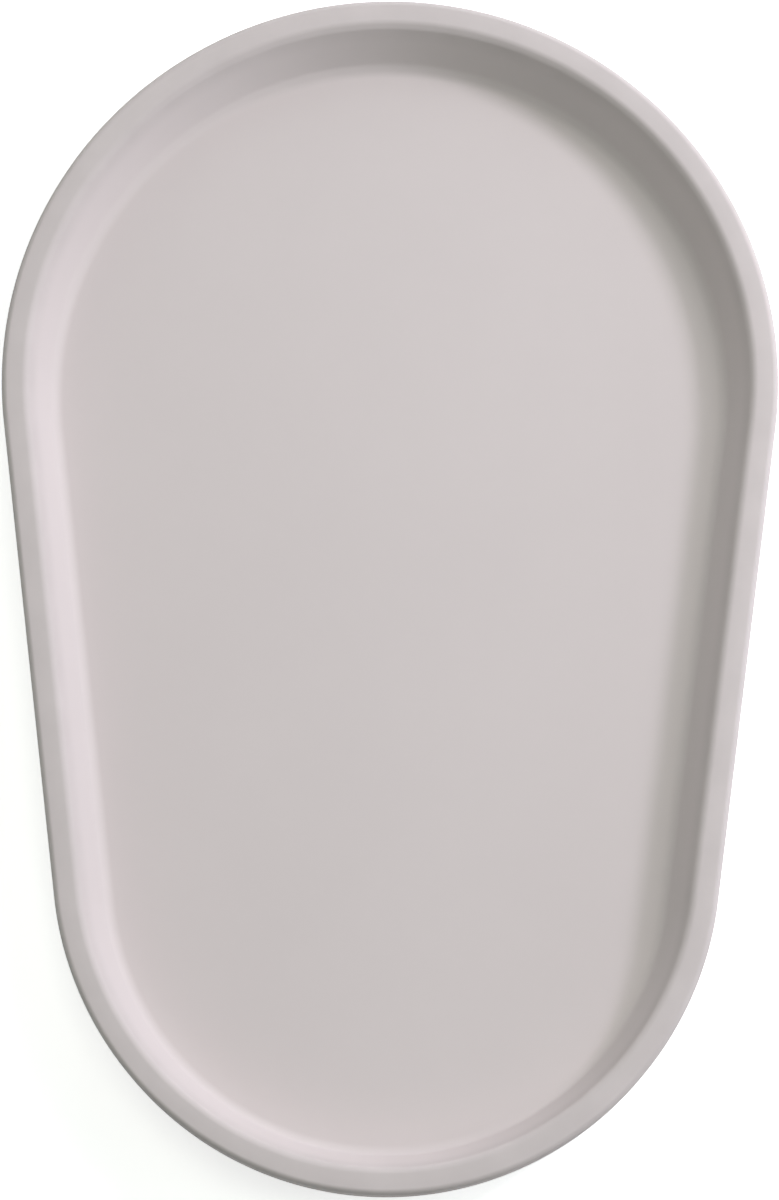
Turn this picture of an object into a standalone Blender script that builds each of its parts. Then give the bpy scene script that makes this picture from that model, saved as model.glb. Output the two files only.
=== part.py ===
"""Foam changing mat: a one-piece moulded foam tray for a baby.

The outline is two circles, a large one at the head and a smaller one at the foot,
with the straight sides that touch both. One rim section is carried round it, and the
bed is set a little nearer the foot than the crest is. The foam core lies between an
upper and a lower skin that meet at the parting line, and rubber grip pads sit in cups
of the lower skin.

Frame: +X to the right, +Y to the head, +Z up, origin under the middle of the mat.
"""

import math

import bmesh
import bpy

# Outline, at the parting line, where the mat is widest
head_radius = 0.2405
foot_radius = 0.2035
centre_distance = 0.296

# Heights
overall_height = 0.065
parting_height = 0.020
tray_depth = 0.027

# Rim section, from the outline inwards, and how far the bed is set towards the foot
side_lean = 0.0015
rim_width = 0.0176
wall_run = 0.0145
bed_shift = 0.0066
crest_outer_radius = 0.0040
crest_inner_radius = 0.0066
bed_fillet_radius = 0.0090

# Lower edge
base_lean = 0.0020
base_edge_radius = 0.0045

# Skins, and the gap between pieces that touch
skin_thickness = 0.0015
clearance = 0.0003

# Grip pads
pad_radius = 0.018
pad_thickness = 0.0026
pad_stand = 0.0012
pad_edge_radius = 0.0006
pad_inset = 0.052
groove_radius = 0.010
groove_width = 0.0024
groove_depth = 0.0007

# How far a cutting tool runs past the face that it cuts
overrun = 0.002

# Points closer than this become one where a turned profile meets its axis
merge_distance = 0.00001

# Facets
head_steps = 28
foot_steps = 24
round_segments = 2
fillet_segments = 3
pad_steps = 20

# Places that follow from the sizes
overall_length = head_radius + centre_distance + foot_radius
head_centre = overall_length / 2 - head_radius
side_angle = math.asin((head_radius - foot_radius) / centre_distance)
base_height = pad_stand
bed_height = overall_height - tray_depth
cup_depth = pad_thickness - pad_stand + clearance
cup_radius = pad_radius + clearance

# Each pad's share of the way from the head circle to the foot circle, and its angle
pad_place_shares = {
    "grip_pad_head_left": (0, math.radians(148)),
    "grip_pad_head_middle": (0, math.radians(90)),
    "grip_pad_head_right": (0, math.radians(32)),
    "grip_pad_side_left": (0.5, math.pi + side_angle),
    "grip_pad_side_right": (0.5, -side_angle),
    "grip_pad_foot_left": (1, math.radians(212)),
    "grip_pad_foot_middle": (1, math.radians(270)),
    "grip_pad_foot_right": (1, math.radians(328)),
}

# The corners that the rim's section turns at, in order
base_edge, parting_line, crest_outer, crest_inner, bed_edge = range(5)
corner_rounds = {
    base_edge: (base_edge_radius, round_segments),
    crest_outer: (crest_outer_radius, round_segments),
    crest_inner: (crest_inner_radius, round_segments),
    bed_edge: (bed_fillet_radius, fillet_segments),
}


def clear_scene():
    for item in list(bpy.data.objects):
        bpy.data.objects.remove(item, do_unlink=True)


def new_collection(name):
    collection = bpy.data.collections.new(name)
    bpy.context.scene.collection.children.link(collection)
    return collection


def new_material(name, colour, roughness):
    material = bpy.data.materials.new(name)
    material.use_nodes = True
    shader = material.node_tree.nodes["Principled BSDF"]
    shader.inputs["Base Color"].default_value = (*colour, 1)
    shader.inputs["Roughness"].default_value = roughness
    shader.inputs["Metallic"].default_value = 0
    return material


def new_object(name, bm, collection, material=None):
    mesh = bpy.data.meshes.new(name)
    bm.to_mesh(mesh)
    bm.free()
    mesh.shade_smooth()
    item = bpy.data.objects.new(name, mesh)
    collection.objects.link(item)
    if material:
        mesh.materials.append(material)
    return item


# Outline and section


def on_ring(share, angle, inset):
    """A point on the circle that lies this share of the way from the head's to the foot's."""
    radius = head_radius + share * (foot_radius - head_radius) - inset
    centre = head_centre - share * centre_distance
    return radius * math.cos(angle), centre + radius * math.sin(angle)


def outline_places():
    """The outline's points as share and angle, anticlockwise from the head's right side."""
    head_turn = math.pi + 2 * side_angle
    foot_turn = math.pi - 2 * side_angle
    head_arc = [
        (0, head_turn * step / head_steps - side_angle)
        for step in range(head_steps + 1)
    ]
    foot_arc = [
        (1, math.pi + side_angle + foot_turn * step / foot_steps)
        for step in range(foot_steps + 1)
    ]
    return head_arc + foot_arc


def section_at(angle):
    """The section as (inset from the outline, height) where the outline faces this angle.

    It runs from the middle of the underside out to the parting line, over the crest and
    in to the middle of the bed. The bed lies nearer the foot than the crest does, so the
    wall is gentle at the head and steep at the foot.
    """
    bed_inset = rim_width + wall_run + bed_shift * math.sin(angle)
    return [
        (foot_radius, base_height),
        (base_lean, base_height),
        (0, parting_height),
        (side_lean, overall_height),
        (rim_width, overall_height),
        (bed_inset, bed_height),
        (foot_radius, bed_height),
    ]


def section_corners(angle, depth):
    """The section's corners once every face has moved into the foam by depth."""
    section = section_at(angle)
    corners = []
    for before, corner, after in zip(section, section[1:], section[2:]):
        normals = []
        for start, end in ((before, corner), (corner, after)):
            run = end[0] - start[0]
            rise = end[1] - start[1]
            length = math.hypot(run, rise)
            normals.append((rise / length, -run / length))
        (first_in, first_up), (second_in, second_up) = normals
        reach = depth / (1 + first_in * second_in + first_up * second_up)
        inset = corner[0] + reach * (first_in + second_in)
        height = corner[1] + reach * (first_up + second_up)
        corners.append((inset, height))
    return corners


def corner_turn(index):
    """The angle that the section turns through at a corner, negative in a hollow one."""
    before, corner, after = section_at(0)[index : index + 3]
    first = math.atan2(corner[1] - before[1], corner[0] - before[0])
    second = math.atan2(after[1] - corner[1], after[0] - corner[0])
    return (first - second + math.pi) % math.tau - math.pi


# Pieces made from the section


def next_ring(bm, verts, edges):
    """Extrudes a ring and returns the new one's points in the same order."""
    made = bmesh.ops.extrude_edge_only(bm, edges=edges)["geom"]
    added = {part for part in made if isinstance(part, bmesh.types.BMVert)}
    neighbours = [[edge.other_vert(vert) for edge in vert.link_edges] for vert in verts]
    return [next(near for near in around if near in added) for around in neighbours]


def carry_section(corners, depth, filled, lift=0):
    """A mesh through one ring for each corner, filled at the rings named in filled.

    The lift raises the ring at the parting line.
    """
    bm = bmesh.new()
    for index in corners:
        bm.edges.layers.float.new(f"round_{index}")
    places = outline_places()
    verts = [bm.verts.new() for place in places]
    edges = [bm.edges.new(pair) for pair in zip(verts, verts[1:] + verts[:1])]
    rings = {}
    for index in corners:
        if rings:
            verts = next_ring(bm, verts, edges)
            edges = [bm.edges.get(pair) for pair in zip(verts, verts[1:] + verts[:1])]
        for vert, (share, angle) in zip(verts, places):
            inset, height = section_corners(angle, depth)[index]
            vert.co = (*on_ring(share, angle, inset), height)
            if index == parting_line:
                vert.co.z += lift
        rings[index] = edges
    for index, ring in rings.items():
        layer = bm.edges.layers.float[f"round_{index}"]
        for edge in ring:
            edge[layer] = 1
    for index in filled:
        bmesh.ops.contextual_create(bm, geom=rings[index])
    bmesh.ops.recalc_face_normals(bm, faces=bm.faces)
    return bm


def face_outwards(bm, upwards):
    """Turns an open surface so that its largest face looks up, or down."""
    bm.normal_update()
    largest = max(bm.faces, key=lambda face: face.calc_area())
    if (largest.normal.z > 0) != upwards:
        bmesh.ops.reverse_faces(bm, faces=bm.faces)


def round_corners(item, indices, depth):
    """Rounds the section's corners, whose radii change with the depth under the surface."""
    for index in indices:
        turn = corner_turn(index)
        radius, segments = corner_rounds[index]
        radius -= math.copysign(depth, turn)
        bevel = item.modifiers.new(f"round_{index}", "BEVEL")
        bevel.limit_method = "WEIGHT"
        bevel.edge_weight = f"round_{index}"
        bevel.width = radius * math.tan(abs(turn) / 2)
        bevel.segments = segments


def add_thickness(item):
    solidify = item.modifiers.new("skin", "SOLIDIFY")
    solidify.thickness = skin_thickness
    solidify.offset = -1
    solidify.use_even_offset = True
    solidify.use_quality_normals = True


def even_shading(item):
    item.modifiers.new("shading", "WEIGHTED_NORMAL")


def edge_setback(lean, rise):
    """How far a skin's edge stays from the parting line: its inner side reaches further."""
    return clearance / 2 + skin_thickness * lean / math.hypot(lean, rise)


def make_upper_skin(collection, material):
    setback = edge_setback(side_lean, overall_height - parting_height)
    corners = [parting_line, crest_outer, crest_inner, bed_edge]
    bm = carry_section(corners, 0, [bed_edge], lift=setback)
    face_outwards(bm, upwards=True)
    skin = new_object("upper_skin", bm, collection, material)
    round_corners(skin, [crest_outer, crest_inner, bed_edge], 0)
    add_thickness(skin)
    even_shading(skin)


def make_foam_core(collection, material, pockets):
    depth = skin_thickness + clearance
    corners = [base_edge, parting_line, crest_outer, crest_inner, bed_edge]
    bm = carry_section(corners, depth, [base_edge, bed_edge])
    core = new_object("foam_core", bm, collection, material)
    round_corners(core, list(corner_rounds), depth)
    cut(core, pockets, "DIFFERENCE")
    even_shading(core)


def make_base_skin(collection, material, cups, recesses):
    setback = edge_setback(base_lean, parting_height - base_height)
    bm = carry_section([base_edge, parting_line], 0, [base_edge], lift=-setback)
    face_outwards(bm, upwards=False)
    skin = new_object("base_skin", bm, collection, material)
    round_corners(skin, [base_edge], 0)
    add_thickness(skin)
    cut(skin, cups, "UNION")
    cut(skin, recesses, "DIFFERENCE")
    even_shading(skin)


# Pads, and the tools that shape their cups


def cut(item, tool, operation):
    boolean = item.modifiers.new(tool.name, "BOOLEAN")
    boolean.operation = operation
    boolean.object = tool


def pad_centre(name):
    share, angle = pad_place_shares[name]
    return on_ring(share, angle, pad_inset)


def make_discs(name, radius, bottom, top, collection):
    """One upright disc over each pad, all in one tool."""
    bm = bmesh.new()
    for pad in pad_place_shares:
        made = bmesh.ops.create_cone(
            bm,
            cap_ends=True,
            segments=pad_steps,
            radius1=radius,
            radius2=radius,
            depth=top - bottom,
        )
        middle = (*pad_centre(pad), (bottom + top) / 2)
        bmesh.ops.translate(bm, verts=made["verts"], vec=middle)
    discs = new_object(name, bm, collection)
    discs.hide_render = True
    discs.display_type = "WIRE"
    return discs


def pad_profile():
    """Half of a pad's section as (radius, height), from the top's middle round to the bottom's."""
    inner = groove_radius - groove_width / 2
    outer = groove_radius + groove_width / 2
    return [
        (0, pad_thickness),
        (pad_radius, pad_thickness),
        (pad_radius, pad_edge_radius),
        (pad_radius - pad_edge_radius, 0),
        (outer, 0),
        (outer - groove_depth, groove_depth),
        (inner + groove_depth, groove_depth),
        (inner, 0),
        (0, 0),
    ]


def make_pads(collection, material):
    """The pads share one turned mesh, which stands on the ground plane."""
    bm = bmesh.new()
    verts = [bm.verts.new((radius, 0, height)) for radius, height in pad_profile()]
    for pair in zip(verts, verts[1:]):
        bm.edges.new(pair)
    mesh = bpy.data.meshes.new("grip_pad")
    bm.to_mesh(mesh)
    bm.free()
    mesh.materials.append(material)
    for name in pad_place_shares:
        pad = bpy.data.objects.new(name, mesh)
        collection.objects.link(pad)
        pad.location = (*pad_centre(name), 0)
        screw = pad.modifiers.new("turned", "SCREW")
        screw.steps = pad_steps
        screw.render_steps = pad_steps
        screw.use_merge_vertices = True
        screw.merge_threshold = merge_distance
        even_shading(pad)


def main():
    clear_scene()
    parts = new_collection("foam_changing_mat")
    tools = new_collection("cutters")

    skin_material = new_material("foam_skin", (0.617, 0.571, 0.571), 0.55)
    foam_material = new_material("soft_foam", (0.72, 0.68, 0.62), 0.95)
    rubber_material = new_material("grip_rubber", (0.10, 0.10, 0.10), 0.75)

    inside = base_height + skin_thickness
    recess_top = base_height + cup_depth
    cup_top = recess_top + skin_thickness
    wall = cup_radius + skin_thickness
    cups = make_discs("pad_cups", wall, inside - skin_thickness / 2, cup_top, tools)
    recesses = make_discs("pad_recesses", cup_radius, base_height - overrun, recess_top, tools)
    pocket_top = cup_top + clearance
    pockets = make_discs("core_pockets", wall + clearance, base_height, pocket_top, tools)

    make_upper_skin(parts, skin_material)
    make_foam_core(parts, foam_material, pockets)
    make_base_skin(parts, skin_material, cups, recesses)
    make_pads(parts, rubber_material)


main()
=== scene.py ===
import math

import bmesh
import bpy
from mathutils import Matrix, Vector


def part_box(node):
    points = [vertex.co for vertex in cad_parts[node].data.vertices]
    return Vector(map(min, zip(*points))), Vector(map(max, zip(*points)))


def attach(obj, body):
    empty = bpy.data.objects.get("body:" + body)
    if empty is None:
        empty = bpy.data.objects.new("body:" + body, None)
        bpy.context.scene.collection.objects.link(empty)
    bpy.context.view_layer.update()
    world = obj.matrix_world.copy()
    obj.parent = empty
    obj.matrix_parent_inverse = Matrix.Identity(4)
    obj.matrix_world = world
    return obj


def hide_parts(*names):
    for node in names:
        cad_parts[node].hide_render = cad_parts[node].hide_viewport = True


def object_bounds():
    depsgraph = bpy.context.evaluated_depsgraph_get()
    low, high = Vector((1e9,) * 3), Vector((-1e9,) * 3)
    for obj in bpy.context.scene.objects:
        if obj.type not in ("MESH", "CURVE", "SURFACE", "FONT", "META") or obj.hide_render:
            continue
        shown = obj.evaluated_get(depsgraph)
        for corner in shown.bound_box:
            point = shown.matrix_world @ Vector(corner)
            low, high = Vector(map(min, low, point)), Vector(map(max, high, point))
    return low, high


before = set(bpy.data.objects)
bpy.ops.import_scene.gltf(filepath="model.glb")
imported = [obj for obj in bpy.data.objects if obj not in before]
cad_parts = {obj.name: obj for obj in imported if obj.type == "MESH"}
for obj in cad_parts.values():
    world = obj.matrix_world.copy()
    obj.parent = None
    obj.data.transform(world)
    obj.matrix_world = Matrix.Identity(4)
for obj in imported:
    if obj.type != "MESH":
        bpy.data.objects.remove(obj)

cadLow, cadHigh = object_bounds()
print("frame loaded:", len(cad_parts), "nodes")

# Sizes in metres. The outline is two circles, one at each end,
# and the straight sides that touch both
outline = {
    "headRadius": 0.2405,
    "footRadius": 0.2035,
    "centreDistance": 0.296,
    "pointsRound": 256,
    "cutsPerSide": 39,
}
headCentre = cadHigh.y - outline["headRadius"]
taper = outline["headRadius"] - outline["footRadius"]
sideAngle = math.asin(taper / outline["centreDistance"])
topHeight = cadHigh.z

# The rim's section, from the outline inwards, how far the bed is set towards the foot,
# and the skins
rim = {
    "partingHeight": 0.020,
    "sideLean": 0.0015,
    "crestWidth": 0.0176,
    "wallRun": 0.0145,
    "bedShift": 0.0066,
    "trayDepth": 0.027,
    "outerRound": 0.0040,
    "innerRound": 0.0066,
    "bedRound": 0.0090,
    "baseLean": 0.0020,
    "baseRound": 0.0045,
    "baseStand": 0.0012,
    "lastRing": 0.11,
    "skin": 0.0015,
    "gap": 0.0003,
    "lip": 0.0003,
    "lipSteps": 2,
    "mergeWithin": 0.00001,
    "arcSteps": 10,
    "longestStep": 0.012,
}
bedHeight = topHeight - rim["trayDepth"]

# From under the mat out to the parting line, over the crest and in to the bed:
# inset, height, round
fullSection = [
    (rim["lastRing"], rim["baseStand"], 0),
    (rim["baseLean"], rim["baseStand"], rim["baseRound"]),
    (0, rim["partingHeight"], 0),
    (rim["sideLean"], topHeight, rim["outerRound"]),
    (rim["crestWidth"], topHeight, rim["innerRound"]),
    (rim["crestWidth"] + rim["wallRun"], bedHeight, rim["bedRound"]),
    (rim["lastRing"], bedHeight, 0),
]
partingCorner = 2


# From which angle between faces an edge counts as sloping, too sharp to be shaded smooth,
# and square, in degrees, and where a face's normal makes it an underside
limits = {
    "slopingFrom": 30,
    "sharpFrom": 35,
    "squareFrom": 60,
    "undersideBelow": -0.9,
}


def deselectAll():
    bpy.ops.object.select_all(action="DESELECT")


def makeActive(piece):
    deselectAll()
    piece.select_set(True)
    bpy.context.view_layer.objects.active = piece


def enterEdit(piece, mode="FACE"):
    makeActive(piece)
    bpy.ops.object.mode_set(mode="EDIT")
    bpy.ops.mesh.select_mode(type=mode)
    bpy.ops.mesh.select_all(action="DESELECT")


def leaveEdit():
    bpy.ops.object.mode_set(mode="OBJECT")


def selectVerts(piece, wanted):
    mesh = bmesh.from_edit_mesh(piece.data)
    for vert in mesh.verts:
        vert.select_set(wanted(vert.co))
    mesh.select_flush_mode()
    bmesh.update_edit_mesh(piece.data)


def selectEdges(piece, wanted):
    bpy.ops.mesh.select_mode(type="EDGE")
    mesh = bmesh.from_edit_mesh(piece.data)
    for edge in mesh.edges:
        edge.select_set(wanted(edge))
    bmesh.update_edit_mesh(piece.data)


def selectFaces(piece, wanted):
    bpy.ops.mesh.select_mode(type="FACE")
    mesh = bmesh.from_edit_mesh(piece.data)
    for face in mesh.faces:
        face.select_set(wanted(face))
    bmesh.update_edit_mesh(piece.data)


def isUnderside(face):
    return face.normal.z < limits["undersideBelow"]


# Joins points that lie on one spot
def mergeDoubles(piece, reach):
    enterEdit(piece, "VERT")
    bpy.ops.mesh.select_all(action="SELECT")
    bpy.ops.mesh.remove_doubles(threshold=reach)
    leaveEdit()


def applyModifier(piece, name, kind, **settings):
    makeActive(piece)
    modifier = piece.modifiers.new(name, kind)
    for key, value in settings.items():
        setattr(modifier, key, value)
    bpy.ops.object.modifier_apply(modifier=modifier.name)


def joinPieces(pieces):
    makeActive(pieces[0])
    for piece in pieces:
        piece.select_set(True)
    bpy.ops.object.join()
    return pieces[0]


def smoothShading(piece):
    makeActive(piece)
    bpy.ops.object.shade_smooth_by_angle(angle=math.radians(limits["sharpFrom"]))


# Rounds the two lips that a skin's wall leaves at the parting line, or a pad's two rims
def roundSquareEdges(piece, width, steps):
    squareFrom = math.radians(limits["squareFrom"])
    enterEdit(piece, "EDGE")
    selectEdges(piece, lambda edge: edge.calc_face_angle(0) > squareFrom)
    bpy.ops.mesh.bevel(offset=width, segments=steps, affect="EDGES")
    leaveEdit()


# Moves every face of a section into the foam: a proud corner's round shrinks,
# and a hollow one's grows
def movedIn(corners, depth):
    moved = []
    for before, corner, after in zip(corners, corners[1:], corners[2:]):
        here = Vector(corner[:2])
        first = (here - Vector(before[:2])).normalized()
        second = (Vector(after[:2]) - here).normalized()
        inwards = Vector((first.y + second.y, -first.x - second.x))
        here += inwards * depth / (1 + first.dot(second))
        turn = first.cross(second)
        radius = corner[2] + math.copysign(depth, turn) if corner[2] else 0
        moved.append((here.x, here.y, radius))
    start = (corners[0][0], moved[0][1], 0)
    end = (corners[-1][0], moved[-1][1], 0)
    return [start, *moved, end]


# Walks along a section, with an arc at each rounded corner
# and no stretch longer than the longest step
def roundedSection(corners):
    path = [Vector(corners[0][:2])]
    for before, corner, after in zip(corners, corners[1:], corners[2:]):
        here, radius = Vector(corner[:2]), corner[2]
        if radius == 0:
            path.append(here)
            continue
        back = (Vector(before[:2]) - here).normalized()
        ahead = (Vector(after[:2]) - here).normalized()
        half = back.angle(ahead) / 2
        reach = radius / math.tan(half)
        centre = here + (back + ahead).normalized() * radius / math.sin(half)
        start, end = here + back * reach, here + ahead * reach
        turn = (start - centre).angle_signed(end - centre)
        for step in range(rim["arcSteps"] + 1):
            spoke = start - centre
            spoke.rotate(Matrix.Rotation(-turn * step / rim["arcSteps"], 2))
            path.append(centre + spoke)
    path.append(Vector(corners[-1][:2]))
    fine = path[:1]
    for point in path[1:]:
        start, away = fine[-1], point - fine[-1]
        cuts = max(1, round(away.length / rim["longestStep"]))
        fine += [start + away * cut / cuts for cut in range(1, cuts + 1)]
    return fine


# The mat's outline as a filled face: a circle at the head, whose foot side shrinks
# and slides to the foot circle
def addOutline(name, inset, height):
    radius = outline["headRadius"] - inset
    deselectAll()
    bpy.ops.mesh.primitive_circle_add(
        vertices=outline["pointsRound"],
        radius=radius,
        fill_type="NGON",
        location=(0, headCentre, height),
    )
    piece = bpy.context.object
    piece.name = name
    bpy.ops.object.transform_apply(location=True)
    enterEdit(piece, "VERT")
    halfStep = math.pi / outline["pointsRound"]
    tangentY = headCentre - radius * math.sin(sideAngle + halfStep)
    selectVerts(piece, lambda point: point.y < tangentY)
    shrink = (outline["footRadius"] - inset) / radius
    bpy.ops.transform.resize(
        value=(shrink, shrink, 1),
        center_override=(0, headCentre, height),
    )
    bpy.ops.transform.translate(value=(0, -outline["centreDistance"], 0))
    longest = outline["centreDistance"] / 2
    selectEdges(piece, lambda edge: edge.calc_length() > longest)
    bpy.ops.mesh.subdivide(number_cuts=outline["cutsPerSide"])
    leaveEdit()
    return piece


# How far towards the foot a ring of the upper half has slid by this inset:
# the wall takes the bed's whole shift
def footSlide(inset):
    share = (inset - rim["crestWidth"]) / rim["wallRun"]
    return min(1, max(0, share)) * rim["bedShift"]


# Carries a section round the outline: each step insets the last face and lifts or lowers it
def carrySection(name, corners, upwards):
    path = roundedSection(corners)
    piece = addOutline(name, path[0].x, path[0].y)
    enterEdit(piece)
    bpy.ops.mesh.select_all(action="SELECT")
    if not upwards:
        bpy.ops.mesh.flip_normals()
    for before, after in zip(path, path[1:]):
        step = after - before
        depth = step.y if upwards else -step.y
        bpy.ops.mesh.inset(thickness=step.x, depth=depth, use_even_offset=True)
        if upwards:
            slide = footSlide(after.x) - footSlide(before.x)
            bpy.ops.transform.translate(value=(0, -slide, 0))
    bpy.ops.mesh.poke()
    leaveEdit()
    return piece


print("modelling the skins and the foam core")


# Half of the section, moved in by depth, with its first corner set back
# from the parting line
def halfSection(depth, upwards, setback):
    corners = movedIn(fullSection, depth)
    if upwards:
        half = corners[partingCorner:]
    else:
        half = corners[partingCorner::-1]
        setback = -setback
    inset, height, radius = half[0]
    return [(inset, height + setback, radius), *half[1:]]


def addSkin(name, upwards):
    skin = carrySection(name, halfSection(0, upwards, rim["gap"] / 2), upwards)
    applyModifier(
        skin,
        "wall",
        "SOLIDIFY",
        thickness=rim["skin"],
        offset=-1,
        use_even_offset=True,
        use_quality_normals=True,
    )
    roundSquareEdges(skin, rim["lip"], rim["lipSteps"])
    return skin


def addFoamCore():
    depth = rim["skin"] + rim["gap"]
    upper = carrySection("foamCore", halfSection(depth, True, 0), True)
    lower = carrySection("coreLower", halfSection(depth, False, 0), False)
    core = joinPieces([upper, lower])
    mergeDoubles(core, rim["mergeWithin"])
    enterEdit(core)
    bpy.ops.mesh.select_all(action="SELECT")
    bpy.ops.mesh.normals_make_consistent(inside=False)
    leaveEdit()
    return core


pads = {
    "radius": 0.018,
    "thickness": 0.0026,
    "edgeRound": 0.0006,
    "edgeSteps": 4,
    "grooveRadius": 0.010,
    "grooveWidth": 0.0024,
    "grooveDepth": 0.0007,
    "grooveRound": 0.00015,
    "grooveSteps": 2,
    "cupMouth": 0.0004,
    "sides": 72,
    "overrun": 0.002,
    "mergeWithin": 0.000001,
}
padNodes = [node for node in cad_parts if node.startswith("grip_pad")]


def padCentre(node):
    low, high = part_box(node)
    return ((low[0] + high[0]) / 2, (low[1] + high[1]) / 2)


# One upright disc over each pad, joined into a single tool: a mouth widens their lower ends
def addDiscs(name, radius, bottom, top, mouth=0):
    discs = []
    for node in padNodes:
        deselectAll()
        bpy.ops.mesh.primitive_cylinder_add(
            vertices=pads["sides"],
            radius=radius,
            depth=top - bottom,
            location=(*padCentre(node), (bottom + top) / 2),
        )
        disc = bpy.context.object
        bpy.ops.object.transform_apply(location=True)
        if mouth:
            enterEdit(disc)
            selectFaces(disc, isUnderside)
            down = {"value": (0, 0, -mouth)}
            bpy.ops.mesh.extrude_region_move(TRANSFORM_OT_translate=down)
            wider = (radius + mouth) / radius
            bpy.ops.transform.resize(value=(wider, wider, 1))
            leaveEdit()
        discs.append(disc)
    tool = joinPieces(discs)
    tool.name = name
    return tool


def cut(piece, tool, operation):
    applyModifier(
        piece,
        tool.name,
        "BOOLEAN",
        operation=operation,
        object=tool,
        solver="EXACT",
    )


def removeTool(tool):
    bpy.data.objects.remove(tool, do_unlink=True)


# Forms a cup in the lower skin over each pad, and a pocket in the core over each cup
def shapeCups(skin, core):
    recessTop = pads["thickness"] + rim["gap"]
    cupTop = recessTop + rim["skin"]
    recessRadius = pads["radius"] + rim["gap"]
    cupRadius = recessRadius + rim["skin"]
    midSkin = rim["baseStand"] + rim["skin"] / 2
    cups = addDiscs("cups", cupRadius, midSkin, cupTop)
    cut(skin, cups, "UNION")
    mouthTop = rim["baseStand"] + pads["cupMouth"]
    mouth = pads["cupMouth"] + pads["overrun"]
    recesses = addDiscs("recesses", recessRadius, mouthTop, recessTop, mouth)
    cut(skin, recesses, "DIFFERENCE")
    pocketRadius = cupRadius + rim["gap"]
    pockets = addDiscs("pockets", pocketRadius, rim["baseStand"], cupTop + rim["gap"])
    cut(core, pockets, "DIFFERENCE")
    for tool in (cups, recesses, pockets):
        removeTool(tool)
    # A cut can leave two points on one spot
    for piece in (skin, core):
        mergeDoubles(piece, pads["mergeWithin"])


upperSkin = addSkin("upperSkin", True)
baseSkin = addSkin("baseSkin", False)
foamCore = addFoamCore()
shapeCups(baseSkin, foamCore)
for piece, node, slot in (
    (upperSkin, "upper_skin", "foam_skin"),
    (baseSkin, "base_skin", "foam_skin"),
    (foamCore, "foam_core", "soft_foam"),
):
    smoothShading(piece)
    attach(piece, "root")
    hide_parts(node)


print("modelling the grip pads")


# A pad at the origin, standing on the ground plane, with a ring groove in its grip face
def addGripPad():
    deselectAll()
    bpy.ops.mesh.primitive_cylinder_add(
        vertices=pads["sides"],
        radius=pads["radius"],
        depth=pads["thickness"],
        location=(0, 0, pads["thickness"] / 2),
    )
    pad = bpy.context.object
    bpy.ops.object.transform_apply(location=True)
    grooveOuter = pads["grooveRadius"] + pads["grooveWidth"] / 2
    grooveInner = grooveOuter - pads["grooveWidth"]
    enterEdit(pad)
    selectFaces(pad, isUnderside)
    bpy.ops.mesh.inset(thickness=pads["radius"] - grooveOuter)
    bpy.ops.mesh.inset(thickness=pads["grooveWidth"])

    def inGroove(face):
        reach = face.calc_center_median().xy.length
        return isUnderside(face) and grooveInner < reach < grooveOuter

    def atGroove(edge):
        angle = math.degrees(edge.calc_face_angle(0))
        return limits["slopingFrom"] < angle < limits["squareFrom"]

    selectFaces(pad, inGroove)
    bpy.ops.mesh.inset(thickness=pads["grooveDepth"], depth=-pads["grooveDepth"])
    selectEdges(pad, atGroove)
    bpy.ops.mesh.bevel(
        offset=pads["grooveRound"],
        segments=pads["grooveSteps"],
        affect="EDGES",
    )
    leaveEdit()
    roundSquareEdges(pad, pads["edgeRound"], pads["edgeSteps"])
    smoothShading(pad)
    return pad


def nameFrom(node):
    first, *others = node.split("_")
    return first + "".join(word.capitalize() for word in others)


def placePad(pattern, node):
    makeActive(pattern)
    bpy.ops.object.duplicate()
    pad = bpy.context.object
    pad.name = nameFrom(node)
    bpy.ops.transform.translate(value=(*padCentre(node), 0))
    bpy.ops.object.transform_apply(location=True)
    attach(pad, "root")
    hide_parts(node)
    return pad


patternPad = addGripPad()
gripPads = [placePad(patternPad, node) for node in padNodes]
removeTool(patternPad)


print("materials")


def addNode(tree, kind, **settings):
    node = tree.nodes.new(kind)
    for key, value in settings.items():
        setattr(node, key, value)
    return node


def addMath(tree, operation, first, second):
    node = addNode(tree, "ShaderNodeMath", operation=operation)
    for socket, value in zip(node.inputs, (first, second)):
        if isinstance(value, (int, float)):
            socket.default_value = value
        else:
            tree.links.new(value, socket)
    return node.outputs[0]


def objectPlace(tree):
    return addNode(tree, "ShaderNodeTexCoord").outputs["Object"]


def addNoise(tree, place, detail):
    noise = addNode(tree, "ShaderNodeTexNoise")
    noise.inputs["Detail"].default_value = detail
    tree.links.new(place, noise.inputs["Vector"])
    return noise


def newGroup(name, inputs, output):
    group = bpy.data.node_groups.new(name, "ShaderNodeTree")
    sockets = group.interface
    for label, value in inputs.items():
        socket = sockets.new_socket(label, in_out="INPUT", socket_type="NodeSocketFloat")
        socket.default_value = value
    sockets.new_socket(output, in_out="OUTPUT", socket_type="NodeSocketFloat")
    start = addNode(group, "NodeGroupInput")
    end = addNode(group, "NodeGroupOutput")
    return group, start, end


def placeGroup(tree, group, **values):
    node = addNode(tree, "ShaderNodeGroup", node_tree=group)
    for label, value in values.items():
        node.inputs[label].default_value = value
    return node.outputs[0]


# The patterns that the materials share: detail is how many finer layers a noise has
patterns = {
    "mottleDetail": 4,
    "mottleRoughness": 0.6,
    "fineGrainDetail": 2,
    "coarseGrainDetail": 1,
    "coarseGrainSize": 6,
    "bandDetail": 5,
}


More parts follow.
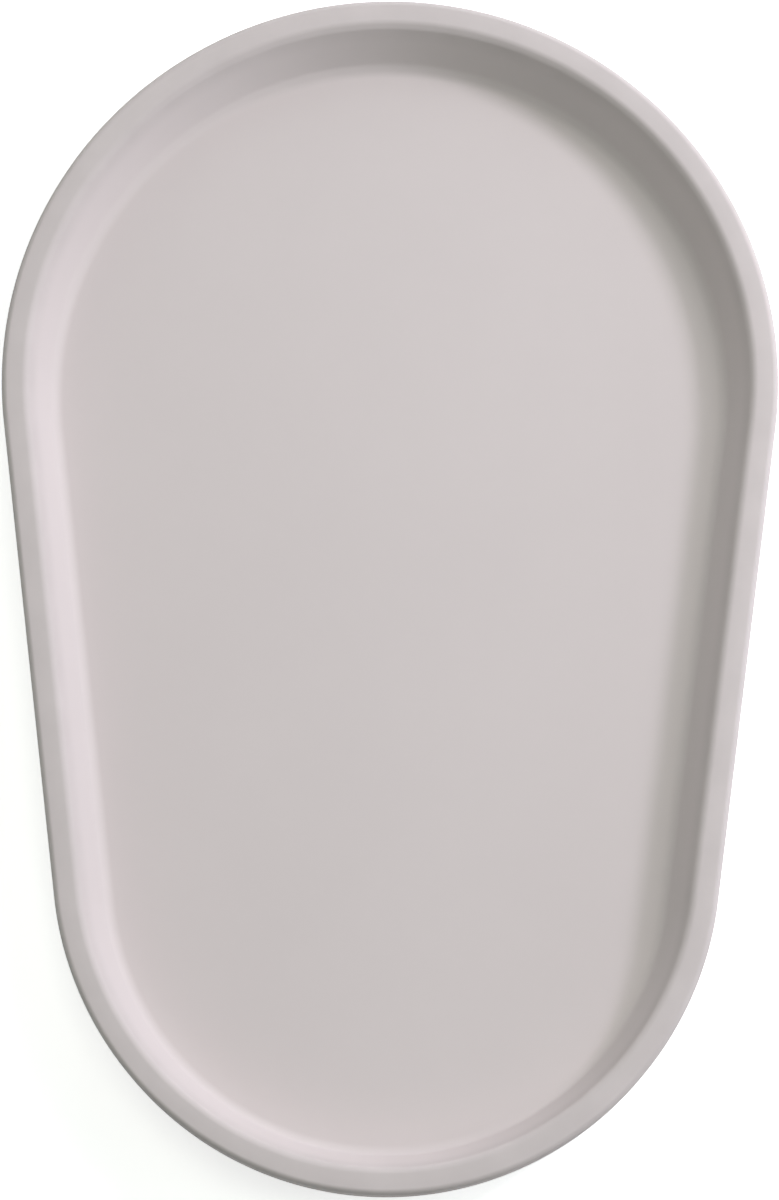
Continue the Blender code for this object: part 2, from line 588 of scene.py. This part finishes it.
# Slow changes of tone over the surface: a factor round 1 for the base colour
def makeMottle():
    tree, start, end = newGroup("softMottle", {"Scale": 6, "Amount": 0.02}, "Tone")
    noise = addNoise(tree, objectPlace(tree), patterns["mottleDetail"])
    noise.inputs["Roughness"].default_value = patterns["mottleRoughness"]
    tree.links.new(start.outputs["Scale"], noise.inputs["Scale"])
    centred = addMath(tree, "SUBTRACT", noise.outputs[0], 0.5)
    eachWay = addMath(tree, "MULTIPLY", centred, 2)
    swing = addMath(tree, "MULTIPLY", eachWay, start.outputs["Amount"])
    tree.links.new(addMath(tree, "ADD", swing, 1), end.inputs["Tone"])
    return tree


# The fine grain of a mould's face: a height from 0 to 1
def makeGrain():
    tree, start, end = newGroup("mouldGrain", {"Scale": 900, "Softness": 0.5}, "Height")
    place = objectPlace(tree)
    fine = addNoise(tree, place, patterns["fineGrainDetail"])
    coarse = addNoise(tree, place, patterns["coarseGrainDetail"])
    fineScale = start.outputs["Scale"]
    coarseScale = addMath(tree, "DIVIDE", fineScale, patterns["coarseGrainSize"])
    tree.links.new(fineScale, fine.inputs["Scale"])
    tree.links.new(coarseScale, coarse.inputs["Scale"])
    blend = addNode(tree, "ShaderNodeMix", data_type="FLOAT")
    tree.links.new(start.outputs["Softness"], blend.inputs["Factor"])
    tree.links.new(fine.outputs[0], blend.inputs["A"])
    tree.links.new(coarse.outputs[0], blend.inputs["B"])
    tree.links.new(blend.outputs["Result"], end.inputs["Height"])
    return tree


# A broken band that grows from 0 at one height to 1 at another, for the crest's painted
# shade and handling, and for dust
def makeBand():
    tree, start, end = newGroup("wornBand", {"From": 0, "To": 0.01, "Scale": 40}, "Mask")
    place = objectPlace(tree)
    split = addNode(tree, "ShaderNodeSeparateXYZ")
    rise = addNode(tree, "ShaderNodeMapRange", interpolation_type="SMOOTHSTEP")
    noise = addNoise(tree, place, patterns["bandDetail"])
    tree.links.new(place, split.inputs["Vector"])
    tree.links.new(start.outputs["Scale"], noise.inputs["Scale"])
    tree.links.new(split.outputs["Z"], rise.inputs["Value"])
    tree.links.new(start.outputs["From"], rise.inputs["From Min"])
    tree.links.new(start.outputs["To"], rise.inputs["From Max"])
    broken = addMath(tree, "MULTIPLY", rise.outputs[0], noise.outputs[0])
    tree.links.new(broken, end.inputs["Mask"])
    return tree


softMottle = makeMottle()
mouldGrain = makeGrain()
wornBand = makeBand()


def newMaterial(name):
    material = bpy.data.materials.new(name)
    material.use_nodes = True
    return material, material.node_tree, material.node_tree.nodes["Principled BSDF"]


# Base colour times tone, mixed towards a second colour where the mask says
def linkColour(tree, shader, colour, tone, second, mask):
    toned = addNode(tree, "ShaderNodeVectorMath", operation="SCALE")
    toned.inputs[0].default_value = colour
    tree.links.new(tone, toned.inputs["Scale"])
    mix = addNode(tree, "ShaderNodeMix", data_type="RGBA")
    tree.links.new(mask, mix.inputs["Factor"])
    tree.links.new(toned.outputs[0], mix.inputs["A"])
    mix.inputs["B"].default_value = (*second, 1)
    tree.links.new(mix.outputs["Result"], shader.inputs["Base Color"])


def linkRoughness(tree, shader, roughness, mask, change):
    changed = addMath(tree, "MULTIPLY", mask, change)
    tree.links.new(addMath(tree, "ADD", changed, roughness), shader.inputs["Roughness"])


def linkBump(tree, shader, height, strength, distance):
    bump = addNode(tree, "ShaderNodeBump")
    bump.inputs["Strength"].default_value = strength
    bump.inputs["Distance"].default_value = distance
    tree.links.new(height, bump.inputs["Height"])
    tree.links.new(bump.outputs["Normal"], shader.inputs["Normal"])


def placeMottle(tree, look):
    scale, amount = look["mottleScale"], look["mottleAmount"]
    return placeGroup(tree, softMottle, Scale=scale, Amount=amount)


def linkGrain(tree, shader, look):
    scale, softness = look["grainScale"], look["grainSoftness"]
    grain = placeGroup(tree, mouldGrain, Scale=scale, Softness=softness)
    linkBump(tree, shader, grain, look["grainStrength"], look["grainDepth"])


# The crest band lies between two depths below the top; its colour is painted shade, darker
# because of how light falls on the crest, and the changes are to the roughness
foamLook = {
    "colour": (0.632, 0.573, 0.575),
    # The handled colour is painted shade for the crest, darker because of how light falls
    # there
    "handled": (0.540, 0.490, 0.491),
    "dusty": (0.520, 0.480, 0.455),
    "roughness": 0.62,
    "specular": 0.2,
    "handledFrom": 0.012,
    "handledTo": 0.002,
    "handledChange": -0.10,
    "dustyChange": 0.10,
    "bandScale": 35,
    "mottleScale": 9,
    "mottleAmount": 0.025,
    "grainScale": 1400,
    "grainSoftness": 0.45,
    "grainStrength": 0.35,
    "grainDepth": 0.00004,
}


# The moulded skin: on the upper skin the band's colour is painted shade near the top, and
# its lower roughness is where hands touch it; on the base skin the band is dust where the
# floor touches it
def makeFoamSkin(name, shadeAndDustColour, bandFrom, bandTo, change):
    material, tree, shader = newMaterial(name)
    scale = foamLook["bandScale"]
    mask = placeGroup(tree, wornBand, From=bandFrom, To=bandTo, Scale=scale)
    tone = placeMottle(tree, foamLook)
    linkColour(tree, shader, foamLook["colour"], tone, shadeAndDustColour, mask)
    linkRoughness(tree, shader, foamLook["roughness"], mask, change)
    linkGrain(tree, shader, foamLook)
    shader.inputs["Specular IOR Level"].default_value = foamLook["specular"]
    return material


coreLook = {
    "colour": (0.72, 0.68, 0.62),
    # The cell colour is painted shade in the cells' hollows
    "cell": (0.50, 0.45, 0.38),
    "roughness": 0.95,
    "mottleScale": 14,
    "mottleAmount": 0.06,
    "cellsPerMetre": 950,
    "cellRise": 1.6,
    "cellChange": 0.04,
    "cellStrength": 0.8,
    "cellDepth": 0.0006,
}


# Open cells, with painted shade darkening their hollows
def makeCoreFoam():
    material, tree, shader = newMaterial("openFoam")
    cells = addNode(tree, "ShaderNodeTexVoronoi")
    cells.inputs["Scale"].default_value = coreLook["cellsPerMetre"]
    tree.links.new(objectPlace(tree), cells.inputs["Vector"])
    distance = cells.outputs["Distance"]
    rise = addMath(tree, "MULTIPLY", distance, coreLook["cellRise"])
    paintedHollowShade = addMath(tree, "SUBTRACT", 1, rise)
    tone = placeMottle(tree, coreLook)
    linkColour(tree, shader, coreLook["colour"], tone, coreLook["cell"], paintedHollowShade)
    linkRoughness(tree, shader, coreLook["roughness"], paintedHollowShade, coreLook["cellChange"])
    linkBump(tree, shader, distance, coreLook["cellStrength"], coreLook["cellDepth"])
    return material


rubberLook = {
    "colour": (0.10, 0.10, 0.10),
    "dusty": (0.21, 0.20, 0.19),
    "roughness": 0.72,
    "dustTop": 0.0016,
    "dustScale": 220,
    "dustChange": 0.2,
    "mottleScale": 60,
    "mottleAmount": 0.12,
    "grainScale": 2200,
    "grainSoftness": 0.3,
    "grainStrength": 0.6,
    "grainDepth": 0.00005,
}


# Grip rubber, dusty on the face that meets the floor
def makeGripRubber():
    material, tree, shader = newMaterial("gripRubber")
    top, scale = rubberLook["dustTop"], rubberLook["dustScale"]
    dust = placeGroup(tree, wornBand, From=top, To=0, Scale=scale)
    tone = placeMottle(tree, rubberLook)
    linkColour(tree, shader, rubberLook["colour"], tone, rubberLook["dusty"], dust)
    linkRoughness(tree, shader, rubberLook["roughness"], dust, rubberLook["dustChange"])
    linkGrain(tree, shader, rubberLook)
    return material


# Upper skin: the crest band's darker colour is painted shade, standing in for how light
# falls on the crest
upperLook = makeFoamSkin(
    "foamSkin",
    foamLook["handled"],
    topHeight - foamLook["handledFrom"],
    topHeight - foamLook["handledTo"],
    foamLook["handledChange"],
)
lowerLook = makeFoamSkin(
    "foamSkinUnder",
    foamLook["dusty"],
    rim["partingHeight"] / 2,
    0,
    foamLook["dustyChange"],
)
upperSkin.data.materials.append(upperLook)
baseSkin.data.materials.append(lowerLook)
foamCore.data.materials.append(makeCoreFoam())
gripRubber = makeGripRubber()
for pad in gripPads:
    pad.data.materials.append(gripRubber)


print("floor, light and camera")

floorPlan = {
    "size": 12.0,
    "height": -0.0003,
    "colour": (0.86, 0.86, 0.86),
    "roughness": 0.9,
    "nearGlow": 0.63,
    "farGlow": 1.0,
    "glowFrom": 0.6,
    "glowTo": 1.8,
}


# A pale floor that the camera sees as white, with the mat's shadow kept:
# its glow grows with the distance from the mat
def addFloor():
    deselectAll()
    place = (0, 0, floorPlan["height"])
    bpy.ops.mesh.primitive_plane_add(size=floorPlan["size"], location=place)
    floor = bpy.context.object
    floor.name = "floor"
    material, tree, shader = newMaterial("paleFloor")
    shader.inputs["Base Color"].default_value = (*floorPlan["colour"], 1)
    shader.inputs["Roughness"].default_value = floorPlan["roughness"]
    shader.inputs["Emission Color"].default_value = (1, 1, 1, 1)
    away = addNode(tree, "ShaderNodeVectorMath", operation="LENGTH")
    tree.links.new(objectPlace(tree), away.inputs[0])
    fade = addNode(tree, "ShaderNodeMapRange", interpolation_type="SMOOTHSTEP")
    fade.inputs["From Min"].default_value = floorPlan["glowFrom"]
    fade.inputs["From Max"].default_value = floorPlan["glowTo"]
    fade.inputs["To Min"].default_value = floorPlan["nearGlow"]
    fade.inputs["To Max"].default_value = floorPlan["farGlow"]
    tree.links.new(away.outputs["Value"], fade.inputs["Value"])
    paths = addNode(tree, "ShaderNodeLightPath")
    seen = paths.outputs["Is Camera Ray"]
    glow = addMath(tree, "MULTIPLY", seen, fade.outputs["Result"])
    tree.links.new(glow, shader.inputs["Emission Strength"])
    floor.data.materials.append(material)


# Azimuth from the mat's right side towards its head, elevation, distance, size,
# power in watts, colour
lamps = {
    "keyLamp": (29, 32.5, 3.0, 0.46, 38.5, (0.92, 0.895, 1.0)),
    "highHeadBox": (45, 42, 3.7, 1.45, 46.0, (0.98, 0.955, 0.93)),
    "rightBox": (0, 25, 2.5, 1.2, 9.2, (0.971, 0.997, 1.0)),
    "highRightBox": (0, 55, 2.5, 1.2, 4.7, (0.727, 1.0, 0.97)),
    "lowRightBox": (0, 10, 2.5, 0.8, 5.5, (0.8, 0.93, 1.0)),
    "headBox": (90, 25, 4.0, 1.9, 30.5, (0.868, 0.95, 1.0)),
    "leftHeadBox": (135, 25, 4.0, 1.9, 21.5, (0.958, 1.0, 0.899)),
    "lowLeftBox": (180, 10, 2.5, 0.8, 1.6, (0.9, 0.95, 1.0)),
    "leftFootBox": (225, 25, 2.5, 1.2, 3.2, (0.648, 1.0, 0.895)),
    "highFootBox": (270, 55, 2.5, 1.2, 8.0, (0.95, 0.90, 0.86)),
    "overheadBox": (90, 85, 2.5, 0.8, 9.6, (0.967, 1.0, 0.883)),
}


def addLamp(name, azimuth, elevation, distance, size, power, colour):
    azimuth, elevation = math.radians(azimuth), math.radians(elevation)
    level = math.cos(elevation)
    height = math.sin(elevation)
    way = Vector((math.cos(azimuth) * level, math.sin(azimuth) * level, height))
    deselectAll()
    bpy.ops.object.light_add(type="AREA", location=way * distance)
    lamp = bpy.context.object
    lamp.name = name
    lamp.rotation_euler = (-way).to_track_quat("-Z", "Y").to_euler()
    lamp.data.size = size
    lamp.data.energy = power
    lamp.data.color = colour


room = {"strength": 0.01, "seenStrength": 1}


# A pale room: faint as light, white where the camera or a reflection sees it
def addWorld():
    world = bpy.data.worlds.new("paleRoom")
    world.use_nodes = True
    tree = world.node_tree
    background = tree.nodes["Background"]
    background.inputs["Color"].default_value = (1, 1, 1, 1)
    paths = addNode(tree, "ShaderNodeLightPath")
    seen = paths.outputs["Is Camera Ray"]
    for ray in ("Is Glossy Ray", "Is Transmission Ray"):
        seen = addMath(tree, "MAXIMUM", seen, paths.outputs[ray])
    strength = addNode(tree, "ShaderNodeMapRange")
    strength.inputs["To Min"].default_value = room["strength"]
    strength.inputs["To Max"].default_value = room["seenStrength"]
    tree.links.new(seen, strength.inputs["Value"])
    tree.links.new(strength.outputs["Result"], background.inputs["Strength"])
    bpy.context.scene.world = world


shot = {
    "target": (0, 0, 0.06),
    "distance": 2.4,
    "elevation": 81.5,
    "roll": 0.433,
    "frameHeight": 0.7336,
    "shift": (0.0009, -0.01225),
    "sensor": 36,
}


def addCamera():
    elevation = math.radians(shot["elevation"])
    back = Vector((0, -math.cos(elevation), math.sin(elevation)))
    deselectAll()
    bpy.ops.object.camera_add(location=Vector(shot["target"]) + back * shot["distance"])
    camera = bpy.context.object
    camera.rotation_mode = "QUATERNION"
    turn = (-back).to_track_quat("-Z", "Y")
    roll = Matrix.Rotation(math.radians(shot["roll"]), 3, "Z").to_quaternion()
    camera.rotation_quaternion = turn @ roll
    camera.data.sensor_width = shot["sensor"]
    camera.data.lens = shot["sensor"] * shot["distance"] / shot["frameHeight"]
    camera.data.shift_x, camera.data.shift_y = shot["shift"]
    bpy.context.scene.camera = camera


addFloor()
for name, lamp in lamps.items():
    addLamp(name, *lamp)
addWorld()
addCamera()
bpy.context.scene.view_settings.view_transform = "Standard"

print("finished")
